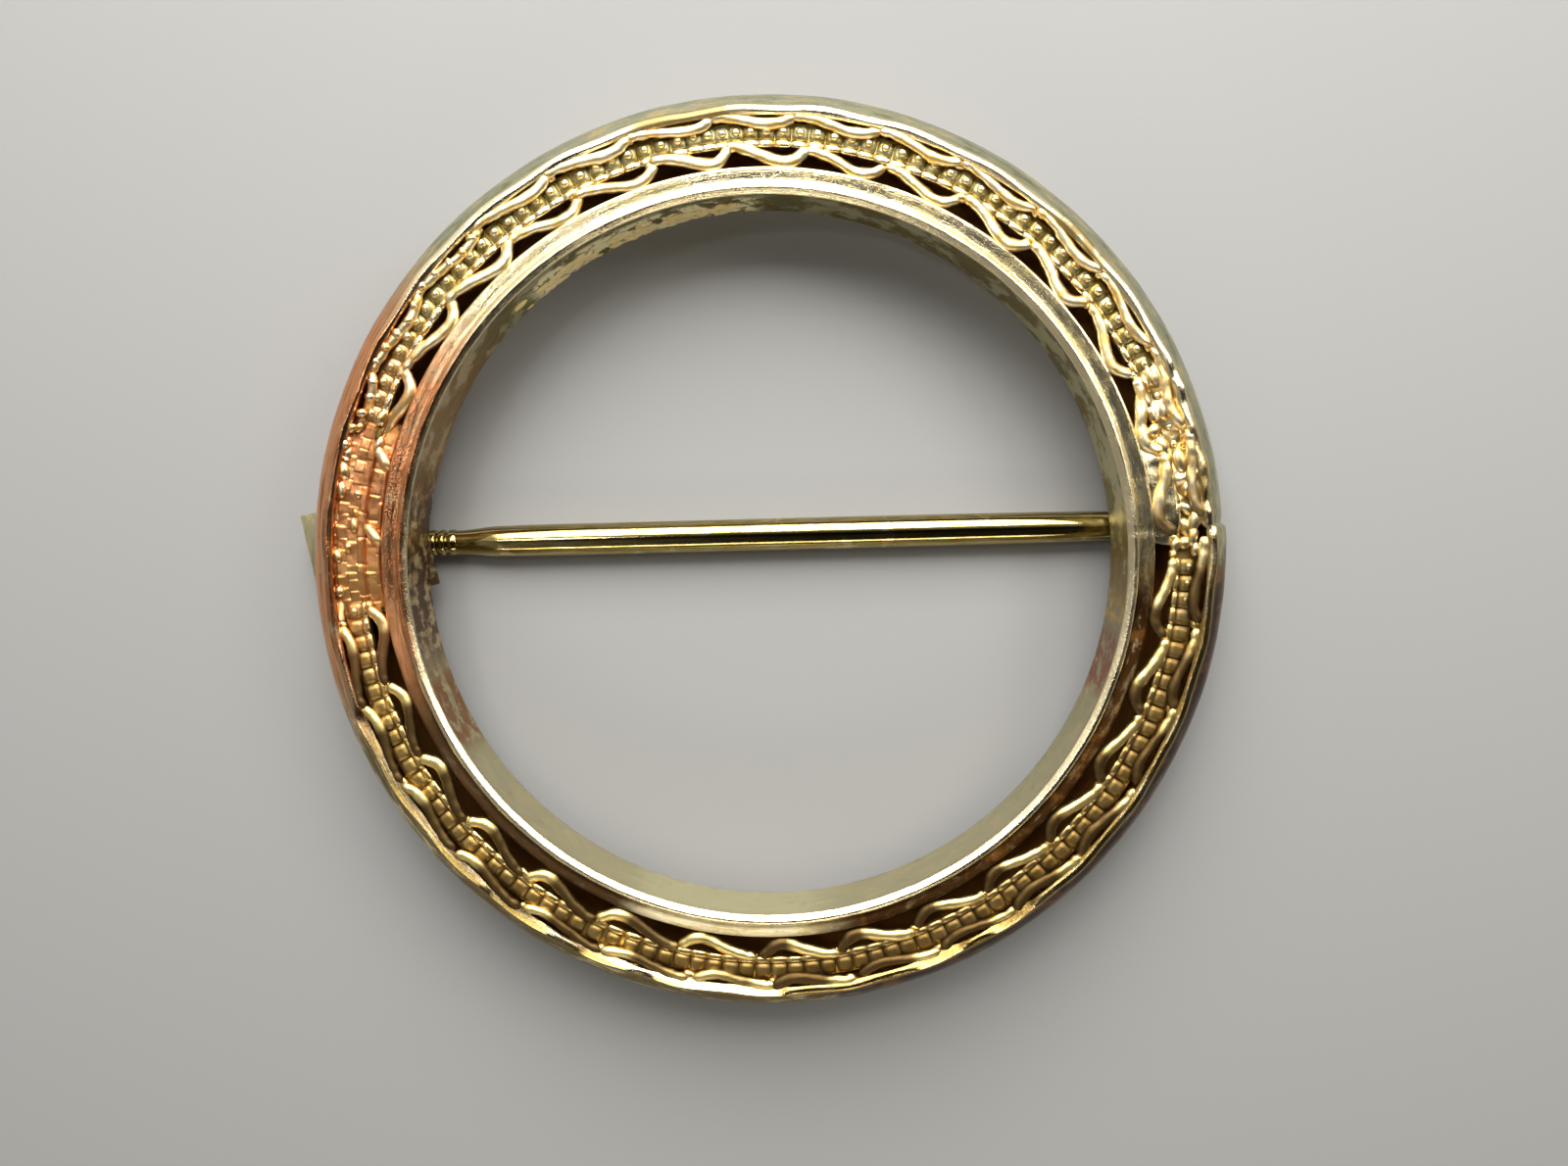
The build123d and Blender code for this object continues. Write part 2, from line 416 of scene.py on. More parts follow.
def buildSheetMaterial(name, rosy):
    # the ring's sheet: pale on its crests, cream on the flange, a painted grey-green reflection outside,
    # olive inside with painted shade on its top half, painted umber shade and reflection low on the right,
    # rose by the hinge and painted brown shade in the hollow
    material, tree, shader = newTree(name)
    place = useGroup(tree, placeGroup)
    wear = useGroup(tree, wearGroup, Mottle=0.9, Fine=8.0)
    radius, drop, up, along = [place.outputs[key] for key in ("Radius", "Drop", "Up", "Along")]
    patch = wear.outputs["Patch"]
    stain = addNoise(along, 1.1, 6.0, 0.72, stretch=(0.7, 2.2, 2.2))
    stained = addRamp(stain, 0.44, 0.60)
    tone = addMix(addRamp(drop, 0.10, 0.20), "pale", addMix(stained, "pale", "cream"))

    # outer side: painted reflection, grey-green above and straw and moss on the lower half
    outside = addRamp(radius, 14.86, 14.94)
    notOutside = oneMinus(outside)
    greenReflection = addMix(addRamp(stain, 0.40, 0.50), "cream", "greenReflection")
    greenReflection = addMix(addRamp(stain, 0.50, 0.66, 0.0, 0.75), greenReflection, "sage")
    tone = addMix(outside, tone, greenReflection)
    lower = addMix(addRamp(stain, 0.34, 0.52), "straw", "moss")
    tone = addMix(times(outside, addRamp(up, 0.10, -0.35)), tone, lower)

    # wall of the opening: olive mottling, darker sage and moss on the ring's top half as painted shade
    boreWall = times(addRamp(radius, 12.16, 12.07), addRamp(drop, 0.10, 0.22))
    olive = addMix(addRamp(patch, 0.16, 0.44), "olive", "khaki")
    wallTopShade = addMix(addRamp(stain, 0.45, 0.55), "sage", "moss")
    wallTopShade = addMix(addRamp(patch, 0.48, 0.58), wallTopShade, "khaki")
    olive = addMix(addRamp(up, 0.30, -0.75), wallTopShade, olive)
    tone = addMix(boreWall, tone, olive)

    # painted shade and reflection low on the right and low on the left, darkest on the outside, with the
    # flange darker still low on the left
    dusk = sectorMask(place, *sheetSet["dusk"])
    duskShare = times(dusk, addRamp(radius, 14.9, 14.8, 0.25, 0.85))
    shade = plus(sectorMask(place, *sheetSet["shade"]), duskShare)
    edge = plus(shade, times(addMath("SUBTRACT", stain, 0.5), 2.2))
    lighter = times(addRamp(stain, 0.50, 0.70, 0.0, 0.30), notOutside)
    shade = times(shade, addRamp(edge, 0.2, 0.8), addRamp(drop, 0.08, 0.18),
                  oneMinus(times(boreWall, 0.7)), oneMinus(lighter))
    tone = addMix(shade, tone, addMix(addRamp(patch, 0.50, 0.66), "shadeTone", "brown"))
    # painted shade on the flange low on the left
    flange = times(addRamp(radius, 12.34, 12.42), addRamp(radius, 12.94, 12.90))
    flangeShade = times(flange, addRamp(radius, 12.88, 12.80), times(dusk, 0.88))
    tone = addMix(flangeShade, tone, "shadeTone")

    # outer rim: painted shade low on the right, on its outer part low on the left and at the bottom, then
    # dull stretches of its own
    rim = times(addRamp(radius, 14.48, 14.54), notOutside)
    worn = addNoise(along, 1.2, 4.0, 0.7)
    shaded = times(rim, sectorMask(place, *sheetSet["rimShade"]), addRamp(worn, 0.58, 0.44, 0.35, 0.95))
    tone = addMix(shaded, tone, "amber")
    rimLeftShade = times(rim, sectorMask(place, *sheetSet["rimLeftShade"]), addRamp(radius, 14.66, 14.71, 0.0, 0.9))
    tone = addMix(rimLeftShade, tone, "moss")
    lowest = times(rim, sectorMask(place, *sheetSet["rimLowestShade"]), 0.8)
    tone = addMix(lowest, tone, "amber")
    dulled = plus(*[sectorMask(place, *sector) for sector in sheetSet["rimDull"]])
    dulled = times(dulled, rim, addRamp(worn, 0.36, 0.50))
    tone = addMix(times(dulled, 0.85), tone, "moss")

    if rosy:
        rose = times(sectorMask(place, *sheetSet["rose"]), addRamp(radius, 12.02, 12.14),
                     addRamp(patch, 0.25, 0.50, 0.50, 1.0))
        tone = addMix(rose, tone, addMix(outside, "rose", "flame"))
        grain = addNoise(along, 2.6, 4.0, 0.65, stretch=(0.22, 3.5, 3.5))
        tone = addMix(times(rose, addRamp(grain, 0.52, 0.64, 0.0, 0.7)), tone, "umber")

    # gilt lumps with a painted highlight in their bright glint tone, stains on the opening's wall, and
    # painted shade in the hollow under the filigree
    broken = addRamp(addNoise(along, 1.6, 6.0, 0.7), 0.47, 0.50)
    gilt = times(boreWall, sectorMask(place, *sheetSet["gilt"]), addRamp(drop, 0.6, 1.0), broken)
    tone = addMix(gilt, tone, "glint")
    ragged = times(addRamp(addNoise(along, 1.5, 5.0, 0.65), 0.40, 0.52), boreWall)
    for *sector, stainTone in sheetSet["wallStains"]:
        tone = addMix(times(ragged, sectorMask(place, *sector)), tone, stainTone)
    # painted shade: brown deep in the channel under the filigree, olive over the back fittings
    inside = times(addRamp(drop, 0.42, 0.75), addRamp(radius, 12.20, 12.34), addRamp(radius, 14.93, 14.87))
    if rosy:
        inside = times(inside, addRamp(drop, 2.54, 2.44))
    tone = addMix(inside, tone, "brown" if rosy else "olive")

    rough = 0.18
    lowFlange = times(flange, addRamp(up, 0.05, -0.35))
    for mask, share in ((stained, 0.10), (inside, 0.35), (boreWall, 0.24), (outside, 0.12),
                        (lowFlange, 0.34), (dulled, 0.30)):
        rough = plus(rough, times(mask, share))
    metal = addRamp(boreWall, 0.0, 1.0, 1.0, 0.60)
    metal = addMath("SUBTRACT", metal, times(gilt, 0.60))
    setInputs(tree, shader, {"Base Color": tone, "Roughness": rough, "Metallic": metal})
    addBump(shader, wear.outputs["Relief"], 0.5, 0.03)
    return material


# filigree metals: crest and second tone, tone of the painted shade further down, roughness, the drops between
# which that painted shade sets in, share of painted shade on the lower half and low on the right, tone of the
# lower half and metal
wireSets = {
    "waveGold": ("pale", "gold", "brown", 0.29, (0.50, 0.66), 0.12, "bright", 1.0),
    "beadGold": ("pale", "straw", "moss", 0.25, (0.42, 0.50), 0.85, "gold", 1.0),
    "pillowGold": ("olive", "khaki", "brown", 0.34, (0.46, 0.58), 0.55, "tan", 1.0),
    "lineGold": ("pale", "gold", "moss", 0.20, (0.42, 0.52), 0.5, "gold", 1.0),
    # painted shade: the gallery floor between the beads is kept dark, in moss and olive
    "stripGold": ("moss", "olive", "brown", 0.25, (0.60, 0.75), 0.6, "gold", 1.0),
    "solderGold": ("pale", "gold", "moss", 0.22, (0.40, 0.56), 0.5, "gold", 1.0),
    "roseSolder": ("rose", "brown", "brown", 0.34, (0.45, 0.65), 0.3, "gold", 1.0),
    "giltGold": ("pale", "bright", "gold", 0.34, (3.0, 3.5), 0.0, "gold", 0.2),
}
# painted shade low on the right of the filigree, and rose by the hinge
wireTurns = {"lowRightShade": (-42.0, 34.0, 18.0), "rose": (169.0, 17.0, 12.0)}


def buildWireMaterial(name, crest, second, shadeTone, dull, shadeDrop, paintedShade, lowTone, metal):
    # drawn and stamped filigree: bright on top, with painted shade further down, golden and with painted
    # shade on the lower half
    material, tree, shader = newTree(name)
    place = useGroup(tree, placeGroup)
    wear = useGroup(tree, wearGroup, Mottle=2.2, Fine=14.0)
    tone = addMix(addRamp(wear.outputs["Patch"], 0.40, 0.62), crest, second)
    # painted shade: the lower half takes its own tone, then darkens in patches, low on the right and where
    # the waves carry it
    low = addRamp(place.outputs["Up"], 0.25, -0.30)
    tone = addMix(times(low, 0.8), tone, lowTone)
    patchy = addRamp(addNoise(place.outputs["Along"], 1.3, 3.0, 0.6), 0.42, 0.56)
    lowRightShade = times(sectorMask(place, *wireTurns["lowRightShade"]), 0.85)
    shaded = addMath("MAXIMUM", times(low, times(patchy, 0.5)), lowRightShade)
    attribute = tree.nodes.new("ShaderNodeAttribute")
    attribute.attribute_name = "paintedShade"
    shaded = addMath("MAXIMUM", times(shaded, paintedShade), times(attribute.outputs["Fac"], 0.94))
    tone = addMix(shaded, tone, "shadeTone")
    rose = times(sectorMask(place, *wireTurns["rose"]), 0.32)
    tone = addMix(rose, tone, "rose")
    # painted shade that deepens further down between the wires
    depthShade = addRamp(place.outputs["Drop"], *shadeDrop)
    tone = addMix(depthShade, tone, shadeTone)
    rough = dull
    for mask, share in ((wear.outputs["Patch"], 0.15), (depthShade, 0.25), (shaded, 0.15)):
        rough = plus(rough, times(mask, share))
    setInputs(tree, shader, {"Base Color": tone, "Roughness": rough, "Metallic": metal})
    addBump(shader, wear.outputs["Relief"], 0.6, 0.02)
    return material


def buildPinMaterial():
    material, tree, shader = newTree("pinGold")
    wear = useGroup(tree, wearGroup, Mottle=0.8, Fine=7.0)
    place = useGroup(tree, placeGroup)
    streak = addNoise(place.outputs["Point"], 3.0, 4.0, 0.65, stretch=(0.35, 3.0, 3.0))
    tone = addMix(addRamp(streak, 0.42, 0.60), "shaft", "olive")
    tone = addMix(addRamp(wear.outputs["Patch"], 0.60, 0.70), tone, "cream")
    rough = plus(0.04, times(streak, 0.10))
    setInputs(tree, shader, {"Base Color": tone, "Roughness": rough, "Metallic": 1.0})
    addBump(shader, wear.outputs["Relief"], 0.15, 0.02)
    return material


ringSheet = buildSheetMaterial("ringSheet", True)
fittingGold = buildSheetMaterial("fittingGold", False)
wireMetals = {name: buildWireMaterial(name, *row) for name, row in wireSets.items()}
pinGold = buildPinMaterial()
print("materials built")

# ring: one closed section, spun round the middle; each corner is a radius and a drop in mm
ringSet = {
    "steps": 720, "bevel": 0.035, "drawnRadius": 15.5, "rimWave": 0.035, "wobble": 0.022, "fineWobble": 0.010,
    "seamTurn": 3.4, "seamStep": 0.075, "seamReach": 22, "seamGroove": 0.05, "grooveWidth": 0.55,
    "rimWobble": 0.03, "meltDown": 0.11, "meltOut": 0.09, "wallLumps": 0.012, "giltLumps": 0.045,
    "gilt": (110.0, 16.0, 6.0), "flangeSlide": 0.10,
}
ringSection = [
    (12.06, 2.58), (12.06, 2.40), (12.06, 2.20), (12.06, 2.00), (12.06, 1.80), (12.06, 1.60),
    (12.06, 1.40), (12.06, 1.15), (12.06, 0.80), (12.06, 0.46), (12.03, 0.31), (11.99, 0.20),
    (11.98, 0.150), (11.995, 0.120), (12.035, 0.092), (12.075, 0.065), (12.115, 0.038), (12.155, 0.013),
    (12.18, 0.00), (12.225, 0.007), (12.27, 0.021), (12.31, 0.042), (12.34, 0.085), (12.36, 0.165),
    (12.40, 0.268), (12.60, 0.236), (12.80, 0.206), (12.86, 0.206), (12.895, 0.235), (12.91, 0.31),
    (12.92, 0.95), (12.36, 1.05), (12.36, 2.35), (14.85, 2.35), (14.85, 1.10), (14.60, 0.95),
    (14.525, 0.30), (14.53, 0.215), (14.555, 0.168), (14.595, 0.133), (14.635, 0.107), (14.67, 0.100),
    (14.72, 0.108), (14.78, 0.125), (14.83, 0.146), (14.865, 0.190), (14.885, 0.250), (14.92, 0.320),
    (15.00, 0.390), (15.13, 0.50), (15.27, 0.66), (15.41, 0.90), (15.48, 1.20), (15.50, 1.50),
    (15.38, 2.10), (15.24, 2.52), (15.13, 2.65), (12.12, 2.65),
]


# the rim leans inwards where it is bright in its lower half: turn and half width in degrees
rimLeans = [(-98.0, 8.0), (-113.5, 2.6), (-126.5, 4.0), (-146.7, 13.0), (-56.5, 2.5), (-67.5, 2.5)]
leanSet = {"fade": 2.2, "least": 0.2, "from": 14.526, "to": 14.80, "slope": 0.65}


def rimLeanAt(turn):
    lean = max(nearTurn(turn, middle, half, leanSet["fade"]) for middle, half in rimLeans)
    return lowSide(turn, 0.0, 0.3) * (leanSet["least"] + (1 - leanSet["least"]) * lean)


def shapeRing(obj, values):
    # the joint's step and groove, the rim pressed by the waves, and a hand-worn unevenness
    for vertex in obj.data.vertices:
        turn, radius, drop = polar(vertex.co)
        spot = vertex.co / mm
        gap = turnGap(turn, values["seamTurn"])
        outward = fadeIn(radius, 13.5, 14.8)
        step = values["seamStep"] * math.exp(-abs(gap) / values["seamReach"]) * (1 if gap < 0 else -0.8)
        groove = values["seamGroove"] * math.exp(-(gap / values["grooveWidth"]) ** 2)
        rimShare = fadeIn(radius, 14.5, 14.62) * fadeIn(drop, 0.5, 0.1)
        melt = meltAt(turn) * rimShare
        share = turnGap(turn, waveStart + outerWave["lead"]) / -wavePitch
        rimWave = values["rimWave"] * math.cos(2 * math.pi * (share - 0.08)) * rimShare
        wobble = values["wobble"] * noise.noise(spot * 0.55) + values["fineWobble"] * noise.noise(spot * 1.7)
        newRadius = radius + step * outward + rimWave + wobble * outward - groove * fadeIn(radius, 14.9, 15.4)
        newDrop = drop + 0.4 * groove * fadeIn(drop, 1.0, 0.4) + 0.6 * wobble * fadeIn(drop, 1.2, 0.2)
        newDrop += values["rimWobble"] * noise.noise(spot * 0.8 + Vector((7, 3, 1))) * rimShare
        newDrop += values["meltDown"] * melt * noise.noise(spot * 1.9)
        newRadius += values["meltOut"] * melt * noise.noise(spot * 1.6 + Vector((3, 9, 4)))
        wall = fadeIn(radius, 12.10, 12.07) * fadeIn(drop, 0.9, 1.3)
        lumps = values["wallLumps"] * wall + values["giltLumps"] * nearTurn(turn, *values["gilt"]) * wall
        newRadius += lumps * noise.noise(spot * 3.2)
        if leanSet["from"] < radius < leanSet["to"] and drop < 0.29:
            leaning = 0.100 + (leanSet["to"] - radius) * leanSet["slope"]
            newDrop += (leaning - drop) * rimLeanAt(turn)
        if radius < 13:
            slide = fadeIn(radius, 12.45, 12.80) * fadeIn(drop, 0.9, 0.4)
            newRadius -= values["flangeSlide"] * lowSide(turn, 0.0, 0.6) * slide
        vertex.co = ringPoint(turn, newRadius, newDrop)


def makeRing():
    bpy.ops.mesh.primitive_circle_add(vertices=len(ringSection))
    obj = nameActive("ringShell")
    for vertex, (radius, drop) in zip(obj.data.vertices, ringSection):
        vertex.co = ringPoint(0, radius + outerRadius - ringSet["drawnRadius"], drop)
    editAll()
    bpy.ops.mesh.spin(steps=ringSet["steps"], angle=2 * math.pi, center=(ringX * mm, 0, 0), axis=(0, 0, 1))
    bpy.ops.object.mode_set(mode="OBJECT")
    tidyNormals(obj)
    bevelEdges(obj, ringSet["bevel"] * mm, segments=2, angle=math.radians(50))
    shapeRing(obj, ringSet)
    return obj


# waves: one wire link a repeat, round at both ends, that starts at the fine line, dips and hooks back up;
# each row is a turn as a share of the repeat, clockwise, a height as a share of the width, a thickness as
# a share of the wire, and a dip in mm
innerWave = {
    "name": "innerWave", "lead": 0.0, "start": 12.96, "width": 0.69, "drop": 0.34, "wire": 0.192,
    "jitter": 0.09, "bar": (0.48, 0.64), "sink": 0.34, "sunk": (0.76, 0.62),
    "rows": [
        (-0.035, 0.74, 0.10, 0.06), (-0.022, 0.80, 0.72, 0.05), (0.03, 0.84, 0.95, 0), (0.09, 0.82, 0.84, 0),
        (0.16, 0.76, 1.02, 0), (0.30, 0.60, 0.96, 0), (0.45, 0.36, 1.00, 0), (0.58, 0.18, 1.05, 0),
        (0.70, 0.12, 1.12, 0), (0.80, 0.25, 1.08, 0), (0.86, 0.47, 0.94, 0), (0.90, 0.64, 1.00, 0),
        (0.925, 0.76, 0.80, 0.04), (0.93, 0.82, 0.10, 0.06),
    ],
}
outerWave = {
    "name": "outerWave", "lead": 2.2, "start": 14.15, "width": 0.50, "drop": 0.28, "wire": 0.182,
    "jitter": 0.10, "bar": (0.14, 0.34), "sink": 0.32, "sunk": None,
    "rows": [
        (-0.035, 0.62, 0.10, 0.06), (-0.02, 0.68, 0.80, 0.04), (0.04, 0.78, 1.08, 0), (0.10, 0.77, 0.86, 0),
        (0.17, 0.72, 1.04, 0), (0.26, 0.62, 0.86, 0), (0.36, 0.50, 1.00, 0), (0.48, 0.34, 0.92, 0),
        (0.60, 0.20, 1.06, 0), (0.72, 0.20, 1.12, 0), (0.82, 0.36, 0.98, 0), (0.88, 0.56, 1.05, 0),
        (0.935, 0.72, 0.85, 0.03), (0.945, 0.76, 0.10, 0.06),
    ],
}
waveRepeats = 31
seamPatch = 2.9  # degrees that the joint takes from the waves
wavePitch = (360 - seamPatch) / waveRepeats
waveStart = -0.9
linkLength = 2.7
linkMiddle = 0.45
wireWear = {
    "push": 0.024, "meltPush": 0.04, "finePush": 0.012, "lump": 0.04, "fineLump": 0.022, "swell": 0.8,
    "meltSwell": 0.008, "meltLift": 0.02, "flat": 0.7,
}
# stretches of the filigree: middle, half width and fade, in degrees
laceTurns = {
    "melt": (14.0, 9.5, 4.5), "late": (171.0, 68.0, 16.0), "joined": (125.0, 30.0, 14.0),
    # the next two stretches carry the waves' painted shade, low on the right and low on the left
    "shadeRight": (-45.0, 46.0, 16.0), "shadeLeft": (-138.0, 30.0, 12.0),
    "sunkWaves": (171.5, 11.5, 6.0), "sunkBeads": (172.0, 10.0, 5.0),
}
lateBy = -2.0
joinedStretch = 0.09
hookShare = (0.74, 0.58)


def meltAt(turn):
    # how far the filigree has been melted by the joint's solder, from 0 to 1
    return nearTurn(turn, *laceTurns["melt"])


def waveTurn(turn):
    # the strip was stretched by hand, so that its pattern runs late on the hinge's side
    return turn + lateBy * nearTurn(turn, *laceTurns["late"])


def shadeAt(turn, share, values):
    # painted shade: low on the right only a wave's straight bar keeps its bright tone, low on the left only
    # its hook
    right = nearTurn(turn, *laceTurns["shadeRight"]) * fadeIn(share, *values["bar"])
    return min(1.0, right + nearTurn(turn, *laceTurns["shadeLeft"]) * fadeIn(share, *hookShare))


def sinkAt(turn, share, values):
    # by the hinge the wires are drowned in solder, and only the inner wave's hooks stand out of it
    depth = values["sink"] * (fadeIn(share, *values["sunk"]) if values["sunk"] else 1)
    return nearTurn(turn, *laceTurns["sunkWaves"]) * depth


def sweepWire(name, rows, wire, along, around):
    # a round wire swept along a path; each row is a point and its share of the wire's radius
    bpy.ops.curve.primitive_nurbs_path_add()
    obj = nameActive(name)
    curve = obj.data
    spline = curve.splines[0]
    spline.points.add(len(rows) - len(spline.points))
    for point, (place, radius) in zip(spline.points, rows):
        point.co = (*place, 1)
        point.radius = radius
    spline.order_u = 3
    spline.use_endpoint_u = True
    curve.resolution_u = along
    curve.bevel_depth = wire
    curve.bevel_resolution = around
    curve.use_fill_caps = True
    pickOnly(obj)
    bpy.ops.object.convert(target="MESH")
    return bpy.context.object


def makeLink(values):
    # the link is laid out flat first, in mm: x along the repeat, y across it
    rows = [((turn * linkLength, height * values["width"], -dip), thick)
            for turn, height, thick, dip in values["rows"]]
    return sweepWire(values["name"] + "Link", rows, values["wire"], along=3, around=2)


def makeWave(values):
    master = makeLink(values)
    rng = random.Random(values["name"])
    copies = []
    for repeat in range(waveRepeats):
        copy = copyMesh(master)
        start = waveStart + values["lead"] - repeat * wavePitch
        lift, squeeze, shift = (rng.uniform(-1, 1) * values["jitter"] for count in range(3))
        stretch = 1 + joinedStretch * nearTurn(start, *laceTurns["joined"])
        # the waves' painted shade, kept on each vertex for the material
        paintedShade = copy.data.attributes.new("paintedShade", "FLOAT", "POINT")
        for vertex, depthShade in zip(copy.data.vertices, paintedShade.data):
            x, y, z = vertex.co
            share = x / linkLength
            depthShade.value = shadeAt(start - share * wavePitch, share, values)
            moved = (share - linkMiddle) * stretch + linkMiddle + shift * 0.3
            turn = waveTurn(start - moved * wavePitch)
            melt = meltAt(turn)
            spot = vertex.co * 3 + Vector((repeat * 5.3, values["lead"], 0))
            push = noise.noise_vector(spot) * (wireWear["push"] + wireWear["meltPush"] * melt)
            push += noise.noise_vector(spot * 3) * wireWear["finePush"]
            lump = wireWear["lump"] * noise.noise(spot * 0.9) + wireWear["fineLump"] * noise.noise(spot * 2.3)
            push += vertex.normal * (wireWear["meltSwell"] * melt + wireWear["swell"] * lump)
            radius = values["start"] + y * (1 + squeeze) + push.y
            drop = values["drop"] - wireWear["flat"] * z + lift * 0.6 + push.z - wireWear["meltLift"] * melt
            vertex.co = ringPoint(turn + push.x * 4, radius, drop + sinkAt(turn, share, values))
        copies.append(copy)
    wave = joinCopies(master, copies, values["name"])
    tidyNormals(wave)
    return wave


# beads: a row of square cushions with a small bead on each, and a fine line of long beads, in mm;
# round is how far a cell is drawn towards a ball, sink how much deeper it lies in the lower half
pillowSet = {
    "name": "pillowRow", "perRepeat": 5, "radius": 14.05, "drop": 0.62, "length": 0.54, "width": 0.54,
    "rise": 0.36, "round": 0.34, "jitter": 0.06, "sink": -0.06,
}
beadSet = {
    "name": "beadRow", "perRepeat": 5, "radius": 14.07, "drop": 0.45, "length": 0.29, "width": 0.25,
    "rise": 0.26, "round": 0.9, "jitter": 0.10, "sink": 0.13,
}
lineSet = {
    "name": "fineLine", "perRepeat": 5, "radius": 13.66, "drop": 0.48, "length": 0.60, "width": 0.24,
    "rise": 0.30, "round": 0.50, "jitter": 0.06, "sink": 0.0,
}
cellWear = {"ball": 0.56, "meltSink": 0.10, "solderSink": 0.26, "push": 0.008, "meltPush": 0.06}


def makeBeads(values):
    bpy.ops.mesh.primitive_cube_add(size=1)
    master = nameActive(values["name"] + "Cell")
    editAll()
    bpy.ops.mesh.subdivide(number_cuts=2)
    bpy.ops.object.mode_set(mode="OBJECT")
    for vertex in master.data.vertices:
        vertex.co = vertex.co.lerp(vertex.co.normalized() * cellWear["ball"], values["round"])
    master.dimensions = (values["width"], values["length"], values["rise"])
    freezePlace(master)
    rng = random.Random(values["name"])
    copies = []
    for index in range(waveRepeats * values["perRepeat"]):
        copy = copyMesh(master)
        turn = waveTurn(waveStart - (index + 0.5) * wavePitch / values["perRepeat"])
        grow, tilt, lift = (1 + rng.uniform(-1, 1) * values["jitter"] for count in range(3))
        melt = meltAt(turn)
        sink = values["sink"] * lowSide(turn, -0.10, 0.30) + cellWear["meltSink"] * melt
        sink += cellWear["solderSink"] * nearTurn(turn, *laceTurns["sunkBeads"])
        for vertex in copy.data.vertices:
            x, y, z = vertex.co
            push = noise.noise_vector(Vector((index * 3.1, x * 4, y * 4)))
            push *= cellWear["push"] + cellWear["meltPush"] * melt
            radius = values["radius"] + x * grow + push.x
            turnHere = turn + math.degrees((y * grow + push.y) / values["radius"])
            drop = values["drop"] - z * lift - x * (tilt - 1) + push.z + sink
            vertex.co = ringPoint(turnHere, radius, drop)
        copies.append(copy)
    return joinCopies(master, copies, values["name"])


# floor strip of the gallery, under the beads, and the solder that floods it at the joint and by the hinge
stripSet = {
    "name": "galleryStrip", "inner": 13.60, "outer": 14.38, "drop": 0.56, "thick": 0.10, "steps": 360,
    "rows": 4,
}
floodSets = [
    {"name": "seamSolder", "turn": 17.0, "half": 10.5, "inner": 13.72, "outer": 14.60, "drop": 0.36,
     "rough": 0.26, "grain": 0.9, "blocky": False, "thick": 0.3, "ragged": 0.10},
    {"name": "seamCollar", "turn": 8.8, "half": 7.8, "inner": 12.80, "outer": 13.85, "drop": 0.31,
     "rough": 0.06, "grain": 0.7, "blocky": False, "thick": 0.3, "ragged": 0.14},
    {"name": "hingeSolder", "turn": 172.0, "half": 14.0, "inner": 12.85, "outer": 14.70, "drop": 0.41,
     "rough": 0.04, "grain": 1.1, "blocky": True, "thick": 0.3, "ragged": 0.05},
]
floodEdge = {"perDegree": 14, "perMm": 40, "endDrop": 0.16, "sideDrop": 0.06, "blockyLevel": 0.55}
blockSet = {
    "rows": 2.9, "stagger": 0.3, "split": 13.79, "outerPace": 0.62, "innerPace": 0.27, "across": 0.10,
    "along": 0.14, "lift": 0.05, "groove": 0.03, "ridge": 0.13, "ridgeWidth": 0.035,
    "ridges": (13.52, 14.62, 12.98),
}


def makeSector(values, startTurn, endTurn, steps, rows):
    # a flat grid is wrapped round the ring between two turns and two radii
    bpy.ops.mesh.primitive_grid_add(x_subdivisions=steps, y_subdivisions=rows, size=1)
    obj = nameActive(values["name"])
    for vertex in obj.data.vertices:
        share, across = vertex.co.x + 0.5, vertex.co.y + 0.5
        turn = startTurn + (endTurn - startTurn) * share
        radius = values["inner"] + (values["outer"] - values["inner"]) * across
        vertex.co = ringPoint(turn, radius, values["drop"])
    return obj


def thicken(obj, thick, merge=1e-7):
    tidyNormals(obj, merge)
    addModifier(obj, "SOLIDIFY", thickness=thick * mm, offset=-1)
    tidyNormals(obj)
    return obj


def makeStrip(values):
    obj = makeSector(values, 0, 360, values["steps"], values["rows"])
    return thicken(obj, values["thick"], merge=1e-6)


def blockDrop(turn, radius, values):
    # blocky lumps between the old wires, and thin ridges that run round with them
    pace = values["outerPace"] if radius > values["split"] else values["innerPace"]
    row = math.floor(radius * values["rows"])
    path = turn * pace + values["stagger"] * row
    half = Vector((0.5, 0.5, 0.5))
    lean = noise.cell_vector(Vector((math.floor(path), row, 0)) + half) - half
    across, along = radius * values["rows"] % 1 - 0.5, path % 1 - 0.5
    drop = values["across"] * lean.x * across + values["along"] * lean.y * along - values["lift"] * lean.z
    edges = fadeIn(abs(across), 0.36, 0.5) + fadeIn(abs(along), 0.42, 0.5)
    ridges = sum(math.exp(-((radius - line) / values["ridgeWidth"]) ** 2) for line in values["ridges"])
    return drop + values["groove"] * edges * (0.5 + lean.z) - values["ridge"] * ridges


